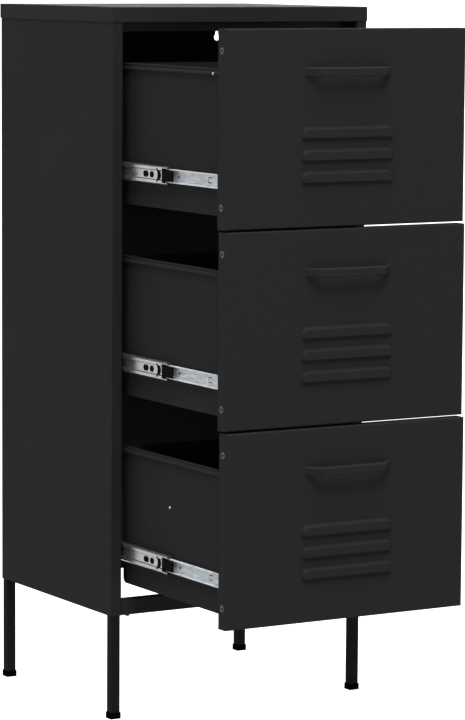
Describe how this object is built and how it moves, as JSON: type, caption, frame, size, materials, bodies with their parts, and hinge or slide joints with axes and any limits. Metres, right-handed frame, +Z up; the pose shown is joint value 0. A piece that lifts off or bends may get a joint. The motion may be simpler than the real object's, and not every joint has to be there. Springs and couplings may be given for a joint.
{
  "type": "chest of drawers",
  "caption": "Tall narrow sheet-steel chest of drawers on square legs, with louvred fronts, bow pulls and drawers that pull out on telescopic ball slides.",
  "frame": {"origin": "on the floor, under the centre of the bounding box of the chest with its drawers open as stored", "axes": "+X to the right of someone facing the chest, +Y to its back, +Z up; the drawers pull out along -Y"},
  "size_m": [0.425, 0.6598, 1.015],
  "materials": {
    "black_paint": "matte black powder coat",
    "zinc_steel": "bright zinc plate",
    "black_plastic": "satin moulded plastic",
    "zinc_bolts": "zinc-plated bolts"
  },
  "bodies": {
    "cabinet": {"top_panel": "black_paint", "side_panel_left": "black_paint", "side_panel_right": "black_paint", "back_panel": "black_paint", "front_top_rail": "black_paint", "front_bottom_rail": "black_paint", "leg_front_left": "black_paint", "leg_front_right": "black_paint", "leg_rear_left": "black_paint", "leg_rear_right": "black_paint", "foot_caps": "black_plastic", "carcass_bolts": "zinc_bolts", "top_cabinet_slide_left": "zinc_steel", "top_cabinet_slide_right": "zinc_steel", "middle_cabinet_slide_left": "zinc_steel", "middle_cabinet_slide_right": "zinc_steel", "bottom_cabinet_slide_left": "zinc_steel", "bottom_cabinet_slide_right": "zinc_steel"},
    "top_drawer": {"top_drawer_front": "black_paint", "top_drawer_pull": "black_paint", "top_drawer_side_left": "black_paint", "top_drawer_side_right": "black_paint", "top_drawer_back": "black_paint", "top_drawer_bottom": "black_paint", "top_drawer_rivets": "black_paint", "top_drawer_slide_left": "zinc_steel", "top_drawer_slide_right": "zinc_steel"},
    "top_mid_slides": {"top_mid_slide_left": "zinc_steel", "top_mid_slide_right": "zinc_steel", "top_slide_stops": "black_plastic"},
    "top_outer_cages": {"top_outer_ball_cages": "black_plastic"},
    "top_inner_cages": {"top_inner_ball_cages": "black_plastic"},
    "middle_drawer": {"middle_drawer_front": "black_paint", "middle_drawer_pull": "black_paint", "middle_drawer_side_left": "black_paint", "middle_drawer_side_right": "black_paint", "middle_drawer_back": "black_paint", "middle_drawer_bottom": "black_paint", "middle_drawer_rivets": "black_paint", "middle_drawer_slide_left": "zinc_steel", "middle_drawer_slide_right": "zinc_steel"},
    "middle_mid_slides": {"middle_mid_slide_left": "zinc_steel", "middle_mid_slide_right": "zinc_steel", "middle_slide_stops": "black_plastic"},
    "middle_outer_cages": {"middle_outer_ball_cages": "black_plastic"},
    "middle_inner_cages": {"middle_inner_ball_cages": "black_plastic"},
    "bottom_drawer": {"bottom_drawer_front": "black_paint", "bottom_drawer_pull": "black_paint", "bottom_drawer_side_left": "black_paint", "bottom_drawer_side_right": "black_paint", "bottom_drawer_back": "black_paint", "bottom_drawer_bottom": "black_paint", "bottom_drawer_rivets": "black_paint", "bottom_drawer_slide_left": "zinc_steel", "bottom_drawer_slide_right": "zinc_steel"},
    "bottom_mid_slides": {"bottom_mid_slide_left": "zinc_steel", "bottom_mid_slide_right": "zinc_steel", "bottom_slide_stops": "black_plastic"},
    "bottom_outer_cages": {"bottom_outer_ball_cages": "black_plastic"},
    "bottom_inner_cages": {"bottom_inner_ball_cages": "black_plastic"}
  },
  "joints": [
    {"name": "top_drawer_slide", "type": "slide", "parent": "cabinet", "child": "top_drawer", "axis": [0, -1, 0], "range_m": [-0.282, 0.018]},
    {"name": "top_mid_slides_travel", "type": "slide", "parent": "cabinet", "child": "top_mid_slides", "axis": [0, -1, 0], "range_m": [-0.15667, 0.01]},
    {"name": "top_outer_cages_travel", "type": "slide", "parent": "cabinet", "child": "top_outer_cages", "axis": [0, -1, 0], "range_m": [-0.07833, 0.005]},
    {"name": "top_inner_cages_travel", "type": "slide", "parent": "cabinet", "child": "top_inner_cages", "axis": [0, -1, 0], "range_m": [-0.21933, 0.014]},
    {"name": "middle_drawer_slide", "type": "slide", "parent": "cabinet", "child": "middle_drawer", "axis": [0, -1, 0], "range_m": [-0.286, 0.014]},
    {"name": "middle_mid_slides_travel", "type": "slide", "parent": "cabinet", "child": "middle_mid_slides", "axis": [0, -1, 0], "range_m": [-0.15889, 0.00778]},
    {"name": "middle_outer_cages_travel", "type": "slide", "parent": "cabinet", "child": "middle_outer_cages", "axis": [0, -1, 0], "range_m": [-0.07945, 0.00389]},
    {"name": "middle_inner_cages_travel", "type": "slide", "parent": "cabinet", "child": "middle_inner_cages", "axis": [0, -1, 0], "range_m": [-0.22245, 0.01089]},
    {"name": "bottom_drawer_slide", "type": "slide", "parent": "cabinet", "child": "bottom_drawer", "axis": [0, -1, 0], "range_m": [-0.291, 0.009]},
    {"name": "bottom_mid_slides_travel", "type": "slide", "parent": "cabinet", "child": "bottom_mid_slides", "axis": [0, -1, 0], "range_m": [-0.16167, 0.005]},
    {"name": "bottom_outer_cages_travel", "type": "slide", "parent": "cabinet", "child": "bottom_outer_cages", "axis": [0, -1, 0], "range_m": [-0.08083, 0.0025]},
    {"name": "bottom_inner_cages_travel", "type": "slide", "parent": "cabinet", "child": "bottom_inner_cages", "axis": [0, -1, 0], "range_m": [-0.22633, 0.007]}
  ],
  "couplings": [
    {"joint": "top_mid_slides_travel", "follows": "top_drawer_slide", "ratio": 0.55556},
    {"joint": "top_outer_cages_travel", "follows": "top_drawer_slide", "ratio": 0.27778},
    {"joint": "top_inner_cages_travel", "follows": "top_drawer_slide", "ratio": 0.77778},
    {"joint": "middle_mid_slides_travel", "follows": "middle_drawer_slide", "ratio": 0.55556},
    {"joint": "middle_outer_cages_travel", "follows": "middle_drawer_slide", "ratio": 0.27778},
    {"joint": "middle_inner_cages_travel", "follows": "middle_drawer_slide", "ratio": 0.77778},
    {"joint": "bottom_mid_slides_travel", "follows": "bottom_drawer_slide", "ratio": 0.55556},
    {"joint": "bottom_outer_cages_travel", "follows": "bottom_drawer_slide", "ratio": 0.27778},
    {"joint": "bottom_inner_cages_travel", "follows": "bottom_drawer_slide", "ratio": 0.77778}
  ]
}
